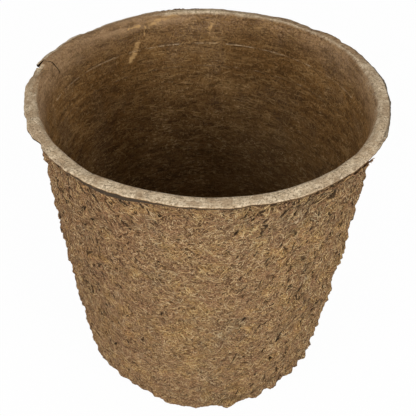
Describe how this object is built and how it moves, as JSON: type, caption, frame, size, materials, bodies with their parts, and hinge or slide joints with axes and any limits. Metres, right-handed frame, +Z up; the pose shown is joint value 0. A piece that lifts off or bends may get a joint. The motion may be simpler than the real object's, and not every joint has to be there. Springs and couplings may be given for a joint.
{
  "type": "pulp plant pot",
  "caption": "Round tapered plant pot of moulded fibre pulp with a flared pressed lip, a stacking ledge inside, a rounded foot and drain holes in its floor.",
  "frame": {"origin": "centre of the foot, on the surface the pot stands on", "axes": "+Z up along the pot's axis; -Y faces the viewer of the picture; the split in the lip is near -X"},
  "size_m": [0.203, 0.203, 0.1909],
  "materials": {
    "pulp": "rough felted fibre outside, pressed smoother on the lip and inside"
  },
  "bodies": {
    "root": {"moulded_pot": "pulp"}
  },
  "joints": []
}
